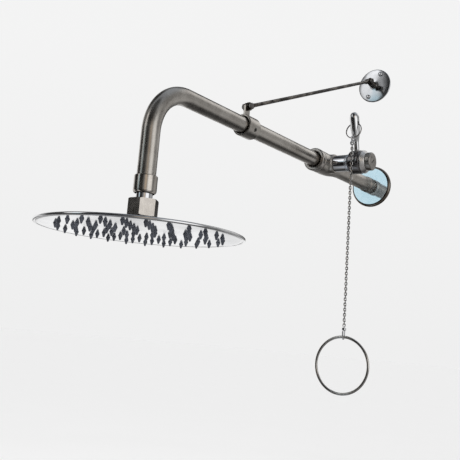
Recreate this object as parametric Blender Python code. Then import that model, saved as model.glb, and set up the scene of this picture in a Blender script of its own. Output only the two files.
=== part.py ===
"""Wall-mounted emergency drench shower with a pull chain.

The supply comes out of the wall along -Y.  A quarter-turn ball valve with a
long tail opens onto the arm: a straight inlet pipe, a coupling and a bent
tube that carries a round rain head.  A brace rod ties the coupling to a
second wall plate.  The lever stands on the +X side of the valve, and its
split ring carries the chain and the pull ring.

The wall is the plane Y = 0, +Z is up, and the origin is the arm's axis at
the wall.  Lengths are in metres.
"""
import math

import bmesh
import bpy
from mathutils import Matrix, Vector

MM = 0.001
GAP = 0.3 * MM

# Pipework: half-inch pipe size throughout.
TUBE_RADIUS = 10.65 * MM
TUBE_BORE = 9.05 * MM
SLEEVE_BORE = TUBE_RADIUS + GAP
PORT_RADIUS = 7.5 * MM
THREAD_RADIUS = 10.45 * MM
ARM_REACH = 563.2 * MM
BEND_RADIUS = 55.0 * MM
TUBE_SIDES = 24

# Places along the arm, measured out from the wall.
FLANGE_RADIUS = 35.0 * MM
FLANGE_DEPTH = 5.6 * MM
NIPPLE_INTO_WALL = 12.0 * MM
BODY_START = 10.0 * MM
BODY_END = 196.0 * MM
STEM_PLACE = 168.0 * MM
INSERT_END = 205.0 * MM
PIPE_START = 188.3 * MM
COUPLING_START = 369.0 * MM
COUPLING_END = 395.0 * MM
COUPLING_RADIUS = 14.5 * MM
SET_SCREW_PLACE = 382.0 * MM
SET_SCREW_ANGLE = math.radians(-20)
LUG_PLACE = 386.0 * MM

# Ball valve: everything along X is measured from the arm's axis.
BALL_RADIUS = 12.0 * MM
CHAMBER_RADIUS = 12.7 * MM
STEM_RADIUS = 4.5 * MM
STEM_BORE = STEM_RADIUS + GAP
BONNET_RADIUS = 12.3 * MM
BONNET_START = 18.8 * MM
BONNET_END = 43.0 * MM
HUB_START = 45.2 * MM
HUB_END = 64.2 * MM
HUB_RADIUS = 17.5 * MM
HUB_RING_RADIUS = 17.2 * MM
HUB_RING_END = 71.3 * MM
CAP_RADIUS = 13.4 * MM
CAP_END = 79.5 * MM
LEVER_X = (HUB_START + HUB_END) / 2
LEVER_LEAN = math.radians(17)
LEVER_LENGTH = 74.5 * MM
LEVER_HOLE_AT = 58.0 * MM
LEVER_HOLE_RADIUS = 3.0 * MM

# Pull chain.
SPLIT_RING_RADIUS = 12.0 * MM
SPLIT_RING_RISE = 0.4 * MM
SPLIT_WIRE = 0.9 * MM
SPLIT_LEAN = math.radians(10)
LINK_WIRE = 1.1 * MM
CHAIN_RADIUS = 2.2 * MM
CHAIN_LENGTH = 268.0 * MM
CHAIN_POINTS = 22
CHAIN_LEAN = math.radians(1.3)
CONNECTOR_HEIGHT = 11.8 * MM
SHACKLE_HEIGHT = 15.0 * MM
PULL_RING_RADIUS = 39.9 * MM
PULL_WIRE = 1.9 * MM
PULL_TURN = math.radians(2)

# Shower head, with heights measured from the swivel ball's centre.
DROP_END = 113.0 * MM
BALL_JOINT_Z = -140.0 * MM
SWIVEL_BALL = 12.3 * MM
SWIVEL_CUP = SWIVEL_BALL + GAP
HEX_FLATS = 30.0 * MM
HEX_TOP = 8.4 * MM
HEX_BOTTOM = -10.6 * MM
HEAD_RADIUS = 114.0 * MM
FACE_HEIGHT = -28.0 * MM
NOZZLE_RINGS = 5
NOZZLE_PITCH = 18.0 * MM
NOZZLE_TURN = math.radians(13.5)
NOZZLE_RADIUS = 2.4 * MM
NOZZLE_TIP = 0.8 * MM
NOZZLE_LENGTH = 5.0 * MM
NOZZLE_SIDES = 6

# Brace.
BRACE_HEIGHT = 181.0 * MM
PLATE_X = -6.0 * MM
PLATE_RADIUS = 29.5 * MM
PLATE_SCREW_CIRCLE = 22.0 * MM
PLATE_SCREW_ANGLE = math.radians(62)
ROD_RADIUS = 2.5 * MM
ROD_X = 3.25 * MM
LUG_PIVOT_Z = 26.5 * MM
KNUCKLE_REACH = 26.0 * MM
BOLT_RADIUS = 2.5 * MM
EYE_RADIUS = 5.5 * MM

STEM_ORIGIN = Vector((0, -STEM_PLACE, 0))
DROP_ORIGIN = Vector((0, -ARM_REACH, 0))
SWIVEL_ORIGIN = DROP_ORIGIN + Vector((0, 0, BALL_JOINT_Z))
PLATE_ORIGIN = Vector((PLATE_X, 0, BRACE_HEIGHT))
KNUCKLE_PIVOT = PLATE_ORIGIN - Vector((0, KNUCKLE_REACH, 0))
LUG_PIVOT = Vector((0, -LUG_PLACE, LUG_PIVOT_Z))

AXIS_TURNS = {
    "X": Matrix.Rotation(math.pi / 2, 3, "Y"),
    "Y": Matrix.Rotation(-math.pi / 2, 3, "X"),
    "Z": Matrix.Identity(3),
}


# ---------------------------------------------------------------- helpers


def clear_scene():
    for item in list(bpy.data.objects):
        bpy.data.objects.remove(item, do_unlink=True)


def make_material(name, colour, roughness, metallic):
    material = bpy.data.materials.new(name)
    material.use_nodes = True
    shader = material.node_tree.nodes["Principled BSDF"]
    shader.inputs["Base Color"].default_value = (*colour, 1)
    shader.inputs["Roughness"].default_value = roughness
    shader.inputs["Metallic"].default_value = metallic
    return material


def finish_object(name, shape, look, location=(0, 0, 0), turn=None):
    """Turn a bmesh into a smooth-shaded object with its own material."""
    bmesh.ops.recalc_face_normals(shape, faces=shape.faces)
    mesh = bpy.data.meshes.new(name)
    shape.to_mesh(mesh)
    shape.free()
    mesh.shade_smooth()
    mesh.set_sharp_from_angle(angle=math.radians(35))
    mesh.materials.append(make_material(name, *look))
    item = bpy.data.objects.new(name, mesh)
    item.location = location
    if turn is not None:
        item.rotation_euler = turn
    bpy.context.collection.objects.link(item)
    return item


def loft(sections, segments, closed, phase=0.0):
    """Skin elliptical sections (x radius, y radius, height); radius 0 is a point."""
    shape = bmesh.new()
    rings = []
    for radius_x, radius_y, height in sections:
        if radius_x < 1e-7:
            rings.append([shape.verts.new((0, 0, height))])
            continue
        ring = []
        for step in range(segments):
            angle = phase + math.tau * step / segments
            ring.append(shape.verts.new((radius_x * math.cos(angle), radius_y * math.sin(angle), height)))
        rings.append(ring)
    pairs = list(zip(rings, rings[1:]))
    if closed:
        pairs.append((rings[-1], rings[0]))
    for first, second in pairs:
        for step in range(segments):
            after = (step + 1) % segments
            corners = [first[step % len(first)], first[after % len(first)]]
            corners += [second[after % len(second)], second[step % len(second)]]
            unique = list(dict.fromkeys(corners))
            if len(unique) > 2:
                shape.faces.new(unique)
    if not closed:
        for ring in (rings[0], rings[-1]):
            if len(ring) > 2:
                shape.faces.new(ring)
    return shape


def turned(profile, axis="Z", segments=TUBE_SIDES, closed=True, phase=0.0):
    """Turn (radius, height) points about an axis; the heights run along that axis."""
    shape = loft([(radius, radius, height) for radius, height in profile], segments, closed, phase)
    bmesh.ops.rotate(shape, verts=shape.verts, cent=(0, 0, 0), matrix=AXIS_TURNS[axis])
    return shape


def rod(radius, start, end, axis="Z", segments=20, phase=0.0):
    return turned([(radius, start), (radius, end)], axis, segments, closed=False, phase=phase)


def tube(outer, inner, start, end, axis="Z", segments=TUBE_SIDES):
    return turned([(outer, start), (outer, end), (inner, end), (inner, start)], axis, segments)


def box(size, centre=(0, 0, 0)):
    shape = bmesh.new()
    bmesh.ops.create_cube(shape, size=1)
    bmesh.ops.scale(shape, verts=shape.verts, vec=size)
    bmesh.ops.translate(shape, verts=shape.verts, vec=centre)
    return shape


def moved(shape, offset):
    bmesh.ops.translate(shape, verts=shape.verts, vec=offset)
    return shape


def combine(target, name, shape, operation, location=(0, 0, 0), turn=None):
    """Join a shape to an object, or cut it away, with a Boolean modifier."""
    tool = finish_object(name, shape, ((0.5, 0.5, 0.5), 0.5, 0.0), location, turn)
    tool.hide_render = True
    tool.display_type = "WIRE"
    boolean = target.modifiers.new(name, "BOOLEAN")
    boolean.operation = operation
    boolean.solver = "EXACT"
    boolean.object = tool


def add(target, name, shape, location=(0, 0, 0), turn=None):
    combine(target, name, shape, "UNION", location, turn)


def cut(target, name, shape, location=(0, 0, 0), turn=None):
    combine(target, name, shape, "DIFFERENCE", location, turn)


def arc(centre, radius, start, end, steps):
    """Points on a circle, with angles in degrees."""
    points = []
    for step in range(steps + 1):
        angle = math.radians(start + (end - start) * step / steps)
        points.append((centre[0] + radius * math.cos(angle), centre[1] + radius * math.sin(angle)))
    return points


def wire_loop(width, height, wire, end_steps=8, sides=8):
    """A closed obround of wire in the YZ plane, centred on the origin."""
    reach = height / 2 - width / 2
    path = [(y, z + reach) for y, z in arc((0, 0), width / 2, 0, 180, end_steps)]
    path += [(y, z - reach) for y, z in arc((0, 0), width / 2, 180, 360, end_steps)]
    shape = bmesh.new()
    rings = []
    for index, (y, z) in enumerate(path):
        before = path[index - 1]
        after = path[(index + 1) % len(path)]
        along = Vector((0, after[0] - before[0], after[1] - before[1])).normalized()
        across = along.cross(Vector((1, 0, 0)))
        ring = []
        for side in range(sides):
            angle = math.tau * side / sides
            offset = wire * (math.cos(angle) * across + math.sin(angle) * Vector((1, 0, 0)))
            ring.append(shape.verts.new(Vector((0, y, z)) + offset))
        rings.append(ring)
    for index, ring in enumerate(rings):
        other = rings[(index + 1) % len(rings)]
        for side in range(sides):
            after = (side + 1) % sides
            shape.faces.new((ring[side], ring[after], other[after], other[side]))
    return shape


# ------------------------------------------------------------------ looks

POLISHED = ((0.72, 0.73, 0.75), 0.12, 1.0)
SATIN = ((0.42, 0.41, 0.40), 0.38, 1.0)
CAST = ((0.34, 0.33, 0.31), 0.5, 1.0)
CHROME = ((0.78, 0.79, 0.81), 0.06, 1.0)
DARK_STEEL = ((0.18, 0.17, 0.17), 0.3, 1.0)
BRASS = ((0.6, 0.45, 0.2), 0.3, 1.0)
SEAL = ((0.85, 0.85, 0.82), 0.5, 0.0)
RUBBER = ((0.03, 0.03, 0.03), 0.7, 0.0)
SILICONE = ((0.13, 0.15, 0.19), 0.5, 0.0)
FILM = ((0.42, 0.65, 0.74), 0.3, 0.0)


# ---------------------------------------------------------- wall and valve


def make_wall_flange():
    hole = THREAD_RADIUS + 1.5 * GAP
    outer = [(FLANGE_RADIUS, 0), (FLANGE_RADIUS, -2.2 * MM), (33.6 * MM, -4.4 * MM)]
    outer += [(31.8 * MM, -FLANGE_DEPTH), (hole, -FLANGE_DEPTH)]
    inner = [(hole, -FLANGE_DEPTH + 1.2 * MM), (31.0 * MM, -FLANGE_DEPTH + 1.2 * MM)]
    inner += [(32.6 * MM, -3.4 * MM), (33.4 * MM, -1.8 * MM), (33.4 * MM, 0)]
    finish_object("wall_flange", turned(outer + inner, "Y", 32), POLISHED)


def make_flange_film():
    face = -FLANGE_DEPTH - GAP
    shape = tube(31.2 * MM, THREAD_RADIUS + 2 * MM, face, face - 0.3 * MM, "Y", 32)
    finish_object("flange_film", shape, FILM)


def make_supply_nipple():
    profile = [(THREAD_RADIUS - MM, NIPPLE_INTO_WALL), (THREAD_RADIUS, NIPPLE_INTO_WALL - MM)]
    profile += [(THREAD_RADIUS, -22.0 * MM), (7.9 * MM, -22.0 * MM), (7.9 * MM, NIPPLE_INTO_WALL)]
    finish_object("supply_nipple", turned(profile, "Y"), SATIN)


def make_valve_body():
    """Casting: ball chamber at the arm end, long tail and a socket at the wall."""
    socket = THREAD_RADIUS + GAP
    outer = [(16.8, 196), (16.8, 173), (16.2, 164), (15.3, 154), (13.4, 144), (11.9, 132), (11.6, 118)]
    outer += [(11.6, 28), (13.0, 26), (13.0, 12), (12.2, 10)]
    profile = [(radius * MM, -place * MM) for radius, place in outer]
    profile += [(socket, -BODY_START), (socket, -24.2 * MM), (PORT_RADIUS, -24.2 * MM)]
    profile += [(PORT_RADIUS, -154.7 * MM), (CHAMBER_RADIUS, -154.7 * MM), (CHAMBER_RADIUS, -BODY_END)]
    body = finish_object("valve_body", turned(profile, "Y"), CAST)
    boss = turned([(14.6 * MM, 13 * MM), (14.6 * MM, 17.2 * MM), (13.4 * MM, 18.5 * MM)], "X", closed=False)
    add(body, "boss_shape", boss, STEM_ORIGIN)
    cut(body, "boss_bore", rod(9.8 * MM, 4 * MM, 20 * MM, "X", 24), STEM_ORIGIN)
    cut(body, "chamber_bore", rod(CHAMBER_RADIUS, 0, 26 * MM, "Y", TUBE_SIDES), (0, -180.7 * MM, 0))


def make_body_insert():
    """Screwed insert that holds the seats in and takes the inlet pipe."""
    outer = [(12.4, 181.3), (12.4, 196.3), (16.2, 196.3), (17.2, 198), (17.2, 203), (16.2, 205)]
    profile = [(radius * MM, -place * MM) for radius, place in outer]
    profile += [(SLEEVE_BORE + 1.4 * MM, -INSERT_END), (SLEEVE_BORE, -INSERT_END + 2 * MM)]
    profile += [(SLEEVE_BORE, -188 * MM), (PORT_RADIUS, -188 * MM), (PORT_RADIUS, -181.3 * MM)]
    finish_object("body_insert", turned(profile, "Y"), CAST)


def make_ball_seats():
    section = [(7.2, 10.0), (10.8, 6.2), (12.3, 6.2), (12.3, 12.9), (7.2, 12.9)]
    for name, side in (("ball_seat_wall", 1), ("ball_seat_arm", -1)):
        profile = [(radius * MM, side * place * MM) for radius, place in section]
        finish_object(name, turned(profile, "Y", 18), SEAL, STEM_ORIGIN)


def make_valve_ball():
    port = 6.5 * MM
    edge = math.degrees(math.acos(port / BALL_RADIUS))
    profile = arc((0, 0), BALL_RADIUS, -edge, edge, 8)
    ball = finish_object("valve_ball", turned(profile, "Y", 20), CHROME, STEM_ORIGIN)
    cut(ball, "ball_slot", box((4 * MM, 30 * MM, 3.8 * MM), (11.2 * MM, 0, 0)), STEM_ORIGIN)


def make_valve_stem():
    """Stem with a tongue that drives the ball and a flange under the bonnet."""
    profile = [(STEM_RADIUS, 12.6 * MM), (STEM_RADIUS, 69 * MM), (3.9 * MM, 70 * MM)]
    stem = finish_object("valve_stem", turned(profile, "X", 20, closed=False), SATIN, STEM_ORIGIN)
    tongue = box((4.4 * MM, 7.2 * MM, 3.0 * MM), (11.7 * MM, 0, 0))
    add(stem, "stem_tongue", tongue, STEM_ORIGIN)


def make_bonnet():
    profile = [(9.5 * MM, 13.2 * MM), (9.5 * MM, BONNET_START), (BONNET_RADIUS, BONNET_START)]
    profile += [(BONNET_RADIUS, BONNET_END - MM), (BONNET_RADIUS - MM, BONNET_END)]
    profile += [(7.6 * MM, BONNET_END), (7.6 * MM, 33 * MM), (STEM_BORE, 33 * MM), (STEM_BORE, 13.2 * MM)]
    finish_object("bonnet", turned(profile, "X"), CHROME, STEM_ORIGIN)


def make_stem_packing():
    shape = tube(7.3 * MM, STEM_BORE, 33.3 * MM, 38.6 * MM, "X", 20)
    finish_object("stem_packing", shape, SEAL, STEM_ORIGIN)


def make_gland_nut():
    profile = [(7.3 * MM, 38.9 * MM), (7.3 * MM, 43.2 * MM), (9 * MM, 43.3 * MM), (9 * MM, 44.8 * MM)]
    profile += [(STEM_BORE, 44.8 * MM), (STEM_BORE, 38.9 * MM)]
    finish_object("gland_nut", turned(profile, "X", 20), BRASS, STEM_ORIGIN)


def make_lever_hub():
    edge = 1.2 * MM
    profile = [(HUB_RADIUS - edge, HUB_START), (HUB_RADIUS, HUB_START + edge)]
    profile += [(HUB_RADIUS, HUB_END - edge), (HUB_RADIUS - edge, HUB_END)]
    profile += [(STEM_BORE, HUB_END), (STEM_BORE, HUB_START)]
    hub = finish_object("lever_hub", turned(profile, "X", 28), CAST, STEM_ORIGIN)
    socket = rod(3.3 * MM, 9 * MM, 22 * MM)
    cut(hub, "lever_socket", socket, STEM_ORIGIN + Vector((LEVER_X, 0, 0)), (LEVER_LEAN, 0, 0))


def make_hub_ring():
    """Tapered bright ring between the hub and the cap."""
    start = HUB_END + GAP
    profile = [(HUB_RING_RADIUS - MM, start), (HUB_RING_RADIUS, start + 0.8 * MM)]
    profile += [(HUB_RING_RADIUS, start + 2 * MM), (CAP_RADIUS, HUB_RING_END)]
    profile += [(STEM_BORE, HUB_RING_END), (STEM_BORE, start)]
    finish_object("hub_ring", turned(profile, "X"), CHROME, STEM_ORIGIN)


def make_end_cap():
    """Slotted cap whose stub screws into the hub ring."""
    start = HUB_RING_END + GAP
    profile = [(4.4 * MM, 70.4 * MM), (4.4 * MM, start), (CAP_RADIUS, start)]
    profile += [(CAP_RADIUS, CAP_END - 1.2 * MM), (CAP_RADIUS - 1.2 * MM, CAP_END)]
    cap = finish_object("end_cap", turned(profile, "X", closed=False), CAST, STEM_ORIGIN)
    slot = box((2 * MM, 12 * MM, 1.8 * MM), (CAP_END - 0.2 * MM, 0, 0))
    cut(cap, "cap_slot", slot, STEM_ORIGIN, (math.radians(40), 0, 0))


def make_lever():
    """Lever turned from bar: threaded root, slim shank and an oval grip."""
    sections = [(3.0, 3.0, 10), (3.0, 3.0, 17.9), (3.9, 3.9, 18.4), (3.9, 3.9, 31)]
    sections += [(4.7, 5.2, 35), (5.5, 6.6, 40), (6.2, 7.6, 47), (6.6, 8.0, 56), (6.6, 8.0, 65)]
    sections += [(6.0, 7.2, 69), (4.3, 5.2, 72.7)]
    rings = [(x * MM, y * MM, z * MM) for x, y, z in sections]
    rings.append((0, 0, LEVER_LENGTH))
    place = STEM_ORIGIN + Vector((LEVER_X, 0, 0))
    lever = finish_object("lever", loft(rings, 20, closed=False), CHROME, place, (LEVER_LEAN, 0, 0))
    hole = moved(rod(LEVER_HOLE_RADIUS, -8 * MM, 8 * MM, "X", 16), (0, 0, LEVER_HOLE_AT))
    cut(lever, "ring_hole", hole, place, (LEVER_LEAN, 0, 0))


# ------------------------------------------------------------- pull chain


def lever_hole_centre():
    reach = Vector((0, -math.sin(LEVER_LEAN), math.cos(LEVER_LEAN))) * LEVER_HOLE_AT
    return STEM_ORIGIN + Vector((LEVER_X, 0, 0)) + reach


def split_ring_bottom():
    fall = Vector((0, -math.sin(SPLIT_LEAN), -math.cos(SPLIT_LEAN)))
    return lever_hole_centre() + Vector((0, 0, SPLIT_RING_RISE)) + fall * 2 * SPLIT_RING_RADIUS


def make_split_ring():
    """Its frame is the chain's hinge, on the axis of the lever's hole."""
    ring = wire_loop(2 * SPLIT_RING_RADIUS, 2 * SPLIT_RING_RADIUS, SPLIT_WIRE, 11, 6)
    bmesh.ops.rotate(ring, verts=ring.verts, cent=(0, 0, 0), matrix=Matrix.Rotation(math.pi / 2, 3, "Z"))
    moved(ring, (0, 0, -SPLIT_RING_RADIUS))
    bmesh.ops.rotate(ring, verts=ring.verts, cent=(0, 0, 0), matrix=Matrix.Rotation(-SPLIT_LEAN, 3, "X"))
    moved(ring, (0, 0, SPLIT_RING_RISE))
    finish_object("split_ring", ring, CHROME, lever_hole_centre())


def connector_top():
    """Centre of the connector's top wire, which hangs on the split ring."""
    return split_ring_bottom() + Vector((0, 0, SPLIT_WIRE + GAP + LINK_WIRE))


def make_chain_connector():
    link = wire_loop(5.8 * MM, CONNECTOR_HEIGHT, LINK_WIRE, 5, 6)
    finish_object("chain_connector", link, CHROME, connector_top() - Vector((0, 0, CONNECTOR_HEIGHT / 2)))


def chain_top():
    return connector_top() - Vector((0, 0, CONNECTOR_HEIGHT + LINK_WIRE + GAP))


def chain_bottom():
    """The chain leans outwards a little as it falls."""
    hang = Vector((math.sin(CHAIN_LEAN), 0, -math.cos(CHAIN_LEAN)))
    return chain_top() + hang * CHAIN_LENGTH


def make_pull_chain():
    curve = bpy.data.curves.new("pull_chain", "CURVE")
    curve.dimensions = "3D"
    curve.bevel_depth = CHAIN_RADIUS
    curve.bevel_resolution = 2
    curve.use_fill_caps = True
    spline = curve.splines.new("POLY")
    spline.points.add(CHAIN_POINTS - 1)
    fall = chain_bottom() - chain_top()
    for index, point in enumerate(spline.points):
        point.co = (*(fall * index / (CHAIN_POINTS - 1)), 1)
    curve.materials.append(make_material("pull_chain", *SATIN))
    item = bpy.data.objects.new("pull_chain", curve)
    item.location = chain_top()
    bpy.context.collection.objects.link(item)


def shackle_centre():
    return chain_bottom() - Vector((0, 0, GAP + LINK_WIRE + SHACKLE_HEIGHT / 2))


def pull_ring_top():
    """Centre of the pull ring's wire where it hangs in the shackle."""
    rise = LINK_WIRE + GAP + PULL_WIRE - SHACKLE_HEIGHT / 2
    return shackle_centre() + Vector((0, 0, rise))


def make_ring_shackle():
    link = wire_loop(7.4 * MM, SHACKLE_HEIGHT, LINK_WIRE, 5, 6)
    finish_object("ring_shackle", link, CHROME, shackle_centre(), (0, 0, PULL_TURN))


def make_pull_ring():
    """Its frame is where it swings, at the top of the ring."""
    ring = wire_loop(2 * PULL_RING_RADIUS, 2 * PULL_RING_RADIUS, PULL_WIRE, 19, 8)
    bmesh.ops.rotate(ring, verts=ring.verts, cent=(0, 0, 0), matrix=Matrix.Rotation(math.pi / 2, 3, "Z"))
    moved(ring, (0, 0, -PULL_RING_RADIUS))
    finish_object("pull_ring", ring, SATIN, pull_ring_top(), (0, 0, PULL_TURN))


# -------------------------------------------------------------------- arm


def make_inlet_pipe():
    shape = tube(TUBE_RADIUS, TUBE_BORE, -PIPE_START, -374.0 * MM, "Y")
    finish_object("inlet_pipe", shape, SATIN)


def make_coupling():
    profile = [(12.0 * MM, -COUPLING_START), (COUPLING_RADIUS - MM, -370.5 * MM)]
    profile += [(COUPLING_RADIUS, -372 * MM), (COUPLING_RADIUS, -394 * MM), (13.7 * MM, -COUPLING_END)]
    profile += [(12.5 * MM, -COUPLING_END), (12.5 * MM, -391 * MM), (SLEEVE_BORE, -391 * MM)]
    profile += [(SLEEVE_BORE, -COUPLING_START)]
    coupling = finish_object("coupling", turned(profile, "Y"), SATIN)
    hole = rod(2.8 * MM, 9 * MM, 18 * MM, "X", 12)
    cut(coupling, "screw_hole", hole, (0, -SET_SCREW_PLACE, 0), (0, -SET_SCREW_ANGLE, 0))


def make_set_screw():
    shape = rod(2.5 * MM, 10.95 * MM, 14.1 * MM, "X", 12)
    finish_object("set_screw", shape, DARK_STEEL, (0, -SET_SCREW_PLACE, 0), (0, -SET_SCREW_ANGLE, 0))


def arm_path():
    """Points and headings of the bent tube's centre line, wall end first."""
    path = [(Vector((0, -374.6 * MM, 0)), 0.0)]
    bend_steps = 10
    for step in range(bend_steps + 1):
        angle = math.pi / 2 * step / bend_steps
        y = -ARM_REACH + BEND_RADIUS - BEND_RADIUS * math.sin(angle)
        z = -BEND_RADIUS + BEND_RADIUS * math.cos(angle)
        path.append((Vector((0, y, z)), angle))
    path.append((Vector((0, -ARM_REACH, -DROP_END)), math.pi / 2))
    return path


def make_arm_tube():
    sides = 20
    shape = bmesh.new()
    rings = []
    for centre, angle in arm_path():
        up = Vector((0, -math.sin(angle), math.cos(angle)))
        for radius in (TUBE_RADIUS, TUBE_BORE):
            ring = []
            for side in range(sides):
                turn = math.tau * side / sides
                offset = radius * (math.cos(turn) * Vector((1, 0, 0)) + math.sin(turn) * up)
                ring.append(shape.verts.new(centre + offset))
            rings.append(ring)
    outer = rings[0::2]
    inner = rings[1::2]
    skin = list(zip(outer, outer[1:])) + list(zip(inner, inner[1:]))
    skin += [(outer[0], inner[0]), (outer[-1], inner[-1])]
    for first, second in skin:
        for side in range(sides):
            after = (side + 1) % sides
            shape.faces.new((first[side], first[after], second[after], second[side]))
    finish_object("arm_tube", shape, SATIN)


# ------------------------------------------------------------ shower head


def make_drop_collar():
    profile = [(SLEEVE_BORE, -105), (12.3, -105), (13, -105.7), (13, -122.6), (12.2, -124.4), (11.4, -125)]
    points = [(SLEEVE_BORE, profile[0][1] * MM)]
    points += [(radius * MM, height * MM) for radius, height in profile[1:]]
    points.append((SLEEVE_BORE, -125 * MM))
    finish_object("drop_collar", turned(points), SATIN, DROP_ORIGIN)


def make_ball_stud():
    """Hollow stud: screwed into the collar above, with the swivel ball below."""
    neck = 9.15 * MM
    bore = 5.5 * MM
    neck_angle = math.degrees(math.acos(neck / SWIVEL_BALL))
    foot_angle = math.degrees(math.asin(9.0 * MM / SWIVEL_BALL))
    profile = [(10.6 * MM, 26.6 * MM), (10.6 * MM, 14.9 * MM), (neck, 14.6 * MM)]
    profile += arc((0, 0), SWIVEL_BALL, neck_angle, -foot_angle, 8)
    profile += [(bore, -9.0 * MM), (bore, 26.6 * MM)]
    finish_object("ball_stud", turned(profile, segments=20), CHROME, SWIVEL_ORIGIN)


def make_swivel_nut():
    """Hexagon nut, chamfered at both ends, that traps the ball."""
    radius = HEX_FLATS / 2 / math.cos(math.pi / 6)
    nut = finish_object("swivel_nut", rod(radius, HEX_BOTTOM, HEX_TOP, "Z", 6), SATIN, SWIVEL_ORIGIN)
    flat = HEX_FLATS / 2 + 0.6 * MM
    chamfer = [(flat - MM, HEX_BOTTOM - MM), (radius + MM, HEX_BOTTOM + 1.3 * MM)]
    chamfer += [(radius + MM, HEX_TOP - 1.3 * MM), (flat - MM, HEX_TOP + MM)]
    combine(nut, "nut_chamfer", turned(chamfer, closed=False, segments=24), "INTERSECT", SWIVEL_ORIGIN)
    bore = [(12.5 * MM, HEX_TOP + 0.5 * MM), (11.2 * MM, 5.6 * MM)]
    bore += arc((0, 0), SWIVEL_CUP, 26, 0, 2)
    bore += [(13.3 * MM, -0.5 * MM), (13.3 * MM, HEX_BOTTOM - MM)]
    cut(nut, "nut_bore", turned(bore, segments=20, closed=False), SWIVEL_ORIGIN)


def make_ball_gasket():
    section = [(7.6, -10.2), (9.3, -8.6), (10.9, -6.6), (10.9, -12.9), (7.6, -12.9)]
    profile = [(radius * MM, height * MM) for radius, height in section]
    finish_object("ball_gasket", turned(profile, segments=18), RUBBER, SWIVEL_ORIGIN)


def make_head_shell():
    """Domed back of the head, with the threaded cup that the nut screws onto."""
    outer = [(13, -4), (13, -10.9), (16, -10.9), (17, -13.5), (24, -15.6), (60, -20.4), (111.8, -24.9)]
    outer += [(114, -26.3), (114, -27.4), (113, -28.2), (111.6, -28.2)]
    inner = [(111.6, -26.3), (60, -21.7), (24, -17), (7.5, -15.4), (7.5, -13.2), (11.2, -13.2)]
    inner += [(11.2, -6), (12, -4)]
    profile = [(radius * MM, height * MM) for radius, height in outer + inner]
    finish_object("head_shell", turned(profile, segments=48), POLISHED, SWIVEL_ORIGIN)


def nozzle_places():
    """Five circles of nozzles, each with five more than the one inside it."""
    places = []
    for ring in range(1, NOZZLE_RINGS + 1):
        for step in range(5 * ring):
            angle = NOZZLE_TURN + math.tau * step / (5 * ring)
            places.append(Vector((math.cos(angle), math.sin(angle))) * ring * NOZZLE_PITCH)
    return places


def at_each_nozzle(profile):
    """One turned body for every nozzle, together in one mesh."""
    joined = bmesh.new()
    for place in nozzle_places():
        single = turned(profile, closed=False, segments=NOZZLE_SIDES)
        moved(single, (place.x, place.y, 0))
        scratch = bpy.data.meshes.new("scratch")
        single.to_mesh(scratch)
        single.free()
        joined.from_mesh(scratch)
        bpy.data.meshes.remove(scratch)
    return joined


def make_face_plate():
    shape = rod(111.2 * MM, FACE_HEIGHT, FACE_HEIGHT + 0.8 * MM, segments=48)
    plate = finish_object("face_plate", shape, POLISHED, SWIVEL_ORIGIN)
    hole = NOZZLE_RADIUS + GAP
    holes = at_each_nozzle([(hole, FACE_HEIGHT - MM), (hole, FACE_HEIGHT + 2 * MM)])
    cut(plate, "nozzle_holes", holes, SWIVEL_ORIGIN)


def make_nozzle_mat():
    """One silicone mat whose nozzles pass through the face plate."""
    top = FACE_HEIGHT + 1.9 * MM
    base = FACE_HEIGHT + 1.1 * MM
    mat = finish_object("nozzle_mat", rod(104 * MM, base, top, segments=40), SILICONE, SWIVEL_ORIGIN)
    profile = [(NOZZLE_RADIUS, base + 0.4 * MM), (NOZZLE_TIP, FACE_HEIGHT - NOZZLE_LENGTH)]
    add(mat, "nozzle_shapes", at_each_nozzle(profile), SWIVEL_ORIGIN)


# ------------------------------------------------------------------ brace


def make_brace_lug():
    """Flat eye standing on the coupling."""
    foot = COUPLING_RADIUS + GAP
    lug = finish_object(
        "brace_lug",
        box((3 * MM, 10 * MM, LUG_PIVOT_Z - foot), (0, -LUG_PLACE, (LUG_PIVOT_Z + foot) / 2)),
        SATIN,
    )
    add(lug, "lug_eye", rod(5 * MM, -1.5 * MM, 1.5 * MM, "X", 20), LUG_PIVOT)
    cut(lug, "lug_hole", rod(BOLT_RADIUS + GAP, -4 * MM, 4 * MM, "X", 16), LUG_PIVOT)


def make_pivot_bolt(name, pivot):
    """Hexagon-head bolt along X through an eye and a tongue."""
    bolt = finish_object(name, rod(BOLT_RADIUS, -7 * MM, 5.4 * MM, "X", 16), DARK_STEEL, pivot)
    add(bolt, name + "_head", rod(4.6 * MM, 5.0 * MM, 8.5 * MM, "X", 6), pivot)


def make_pivot_nut(name, pivot):
    nut = finish_object(name, rod(4.6 * MM, -5.8 * MM, -1.8 * MM, "X", 6), DARK_STEEL, pivot)
    cut(nut, name + "_bore", rod(BOLT_RADIUS + GAP, -8 * MM, 0, "X", 16), pivot)


def make_brace_rod():
    """Round rod whose ends are flattened into eyes."""
    near = KNUCKLE_PIVOT + Vector((ROD_X, 0, 0))
    far = LUG_PIVOT + Vector((ROD_X, 0, 0))
    slope = (far - near).to_track_quat("Y", "Z").to_euler()
    length = (far - near).length
    bar = rod(ROD_RADIUS, EYE_RADIUS + 2 * MM, length - EYE_RADIUS - 2 * MM, "Y", 16)
    brace = finish_object("brace_rod", bar, SATIN, near, slope)
    for name, place, middle in (("wall", near, 5 * MM), ("arm", far, length - 5 * MM)):
        add(brace, "rod_flat_" + name, box((2.7 * MM, 10 * MM, 7 * MM), (0, middle, 0)), near, slope)
        add(brace, "rod_eye_" + name, rod(EYE_RADIUS, -1.45 * MM, 1.45 * MM, "X", 20), place)
        cut(brace, "rod_hole_" + name, rod(BOLT_RADIUS + GAP, -4 * MM, 4 * MM, "X", 16), place)


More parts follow.
